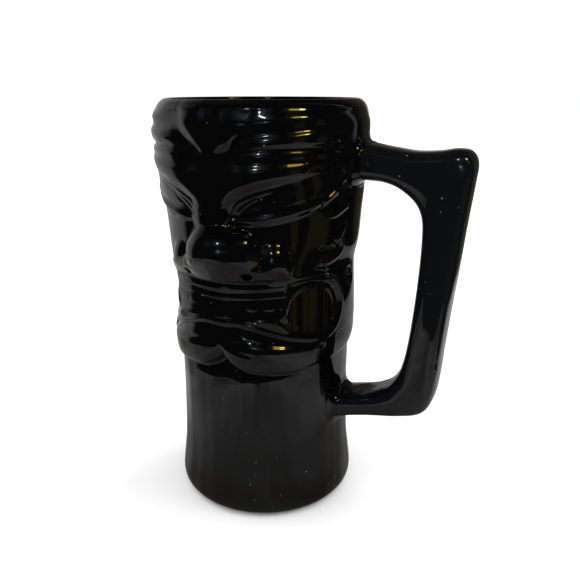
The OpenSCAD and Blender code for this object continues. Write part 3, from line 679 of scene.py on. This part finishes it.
def polar(azimuth, elevation, distance=1.0):
    a, e = math.radians(azimuth), math.radians(elevation)
    return distance * math.cos(e) * math.sin(a), -distance * math.cos(e) * math.cos(a), distance * math.sin(e)


def floor_plane(name, corners, z, material):
    """A flat sheet. corners are (towards the camera, to its right) from the mug's axis."""
    fx, fy, _ = polar(CAMERA_AZIMUTH, 0)
    me = bpy.data.meshes.new(name)
    me.from_pydata([(fx * f - fy * s, fy * f + fx * s, z) for f, s in corners], [],
                   [tuple(range(len(corners)))])
    me.materials.append(material)
    ob = bpy.data.objects.new(name, me)
    bpy.context.collection.objects.link(ob)
    return ob


def ramp_node(nt, source, stops):
    r = nt.nodes.new("ShaderNodeValToRGB")
    nt.links.new(source, r.inputs["Fac"])
    e = r.color_ramp.elements
    for i, (x, v) in enumerate(stops):
        el = e[i] if i < 2 else e.new(x)
        el.position = x
        el.color = (v, v, v, 1) if isinstance(v, float) else v + (1,)
    return r.outputs["Color"]


def build_stage():
    """A pale floor. Only its near part, up to the table's edge, shows in the glaze, and darker there: painted
    shade, darker blotches in its reflected colour that stand in for the table's shadows.
    """
    mat = bpy.data.materials.new("pale_floor")
    mat.use_nodes = True
    nt = mat.node_tree
    b = nt.nodes["Principled BSDF"]
    b.inputs["Roughness"].default_value = 0.7
    b.inputs["Specular IOR Level"].default_value = 0.0
    path = nt.nodes.new("ShaderNodeLightPath")
    mix = nt.nodes.new("ShaderNodeMixRGB")
    mix.inputs["Color1"].default_value = FLOOR_WHITE
    # Glossy rays see painted shade, a darker blotched colour, while every other ray sees the even white.
    shade_patches = nt.nodes.new("ShaderNodeTexNoise")
    shade_patches.inputs["Scale"].default_value = 26
    shade_patches.inputs["Detail"].default_value = 3
    nt.links.new(ramp_node(nt, shade_patches.outputs["Fac"], FLOOR_SHADE_PATCHES), mix.inputs["Color2"])
    nt.links.new(path.outputs["Is Glossy Ray"], mix.inputs["Fac"])
    nt.links.new(mix.outputs["Color"], b.inputs["Base Color"])
    # The sheet that the glaze mirrors lies on a wide floor that the glaze doesn't see.
    sheet = [(TABLE_EDGE, -0.2), (TABLE_EDGE, 0.18), (0, 0.18), (-0.05, 0.25), (-0.35, 0.25),
             (-FLOOR, 0.42), (-FLOOR, -0.2)]
    floor_plane("floor_sheet", sheet, 0, mat)
    wide = [(FLOOR, -FLOOR), (FLOOR, FLOOR), (-FLOOR, FLOOR), (-FLOOR, -FLOOR)]
    floor_plane("floor", wide, -FLOOR_DROP, mat).visible_glossy = False


def build_world():
    """White all round for the camera. The glaze sees the room's parts and a dark room in front."""
    world = bpy.data.worlds.new("room")
    bpy.context.scene.world = world
    world.use_nodes = True
    nt = world.node_tree
    nt.nodes.clear()
    direction = nt.nodes.new("ShaderNodeTexCoord").outputs["Generated"]
    fx, fy, _ = polar(CAMERA_AZIMUTH, 0)

    def node(kind, operation, *values):
        n = nt.nodes.new(kind)
        n.operation = operation
        for i, v in enumerate(values):
            if isinstance(v, bpy.types.NodeSocket):
                nt.links.new(v, n.inputs[i])
            else:
                n.inputs[i].default_value = v
        return n.outputs["Value"]

    def dot(v):
        return node("ShaderNodeVectorMath", "DOT_PRODUCT", direction, v)

    def mixed(kind, one, two):
        m = nt.nodes.new("ShaderNodeMixRGB")
        m.blend_type = kind
        m.inputs["Fac"].default_value = 1
        nt.links.new(one, m.inputs["Color1"])
        nt.links.new(two, m.inputs["Color2"])
        return m.outputs["Color"]

    # Angle round from the camera's side, -180 to 180 degrees, as 0 to 1.
    around = node("ShaderNodeMath", "ARCTAN2", dot((-fy, fx, 0)), dot((fx, fy, 0)))
    around = node("ShaderNodeMath", "MULTIPLY_ADD", around, 1 / (2 * math.pi), 0.5)
    height = node("ShaderNodeMath", "MULTIPLY_ADD", dot((0, 0, 1)), 0.5, 0.5)

    def room_part(stops, heights):
        colours = ramp_node(nt, around, [(a / 360 + 0.5, v) for a, v in stops])
        return mixed("MULTIPLY", colours, ramp_node(nt, height, heights))

    def glow(azimuth, elevation, spread, colour):
        stops = [(1.0, 0.0), (0.55, tuple(0.22 * c for c in colour)), (0.15, colour)]
        return ramp_node(nt, dot(polar(azimuth, elevation)),
                         [(math.cos(math.radians(spread * share)), v) for share, v in stops])

    glossy = room_part(SURROUND, SURROUND_HEIGHT)
    for stops, heights in ((SHELVES, SHELVES_HEIGHT), (DOORWAY, DOORWAY_HEIGHT), (BEHIND, BEHIND_HEIGHT)):
        glossy = mixed("ADD", glossy, room_part(stops, heights))
    for values in GLOWS:
        glossy = mixed("ADD", glossy, glow(*values))
    light_path = nt.nodes.new("ShaderNodeLightPath")
    mix = nt.nodes.new("ShaderNodeMixRGB")
    mix.inputs["Color1"].default_value = (1, 1, 1, 1)
    nt.links.new(light_path.outputs["Is Glossy Ray"], mix.inputs["Fac"])
    nt.links.new(glossy, mix.inputs["Color2"])
    bg = nt.nodes.new("ShaderNodeBackground")
    out = nt.nodes.new("ShaderNodeOutputWorld")
    nt.links.new(mix.outputs["Color"], bg.inputs["Color"])
    nt.links.new(bg.outputs["Background"], out.inputs["Surface"])


def place_light(name, light, azimuth, elevation, distance, target):
    """Puts a light in that direction from the target, and faces it there."""
    ob = bpy.data.objects.new(name, light)
    bpy.context.collection.objects.link(ob)
    where = Vector(target) + Vector(polar(azimuth, elevation, distance))
    ob.location = where
    ob.rotation_euler = (Vector(target) - where).to_track_quat("-Z", "Y").to_euler()
    return ob


def lamp(name, azimuth, elevation, distance, width, height, radiance, colour):
    """A small lamp in the room, seen only as its reflection in the glaze."""
    light = bpy.data.lights.new(name, "AREA")
    light.shape = "ELLIPSE"
    light.size, light.size_y = width, height
    light.energy = radiance * math.pi * math.pi * width * height / 4
    light.color = colour
    ob = place_light(name, light, azimuth, elevation, distance, MIDDLE)
    ob.visible_diffuse = False
    ob.visible_camera = False


def soft_sun(name, strength, azimuth, elevation, spread):
    """Soft light on the floor and the clay, not seen in the glaze."""
    light = bpy.data.lights.new(name, "SUN")
    light.energy = strength
    light.angle = math.radians(spread)
    place_light(name, light, azimuth, elevation, 1.0, (0, 0, 0)).visible_glossy = False


def build_camera():
    cam = bpy.data.cameras.new("camera")
    ob = bpy.data.objects.new("camera", cam)
    bpy.context.collection.objects.link(ob)
    x, y, _ = polar(CAMERA_AZIMUTH, 0, CAMERA_BACK)
    ob.location = (x, y, CAMERA_Z)
    ob.rotation_euler = (math.radians(90 - CAMERA_PITCH), 0, math.radians(CAMERA_AZIMUTH - CAMERA_YAW))
    cam.sensor_width = CAMERA_SENSOR
    cam.lens = CAMERA_LENS
    bpy.context.scene.camera = ob


azimuths, face_z, face_r = face_band()
side = (face_z, face_r[:, round(HANDLE_AZIMUTH / COLUMN_STEP)])
cup = build_cup(azimuths, face_z, face_r)
handle = build_handle(side)
upper = build_bead("mug_upper_bead", UPPER_ROOT, side)
lower = build_bead("mug_lower_bead", LOWER_ROOT, side)
cup_glaze = glaze_material("black_glaze", (0.0013, 0.0013, 0.0014), 0.46)
dusty_glaze = glaze_material("dusty_glaze", (0.0032, 0.0036, 0.0044), 0.28)
for ob, node, slot, glaze in ((cup, "cup", "cup_glaze", cup_glaze),
                              (handle, "handle", "handle_glaze", dusty_glaze),
                              (upper, "upper_slip_bead", "bead_glaze", cup_glaze),
                              (lower, "lower_slip_bead", "bead_glaze", cup_glaze)):
    outward(ob)
    ob.data.materials.append(glaze)
    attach(ob, "root")
    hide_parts(node)

build_stage()
build_world()
build_camera()
for values in SUNS:
    soft_sun(*values)
for values in LAMPS:
    lamp(*values)
bpy.context.scene.view_settings.view_transform = "Standard"
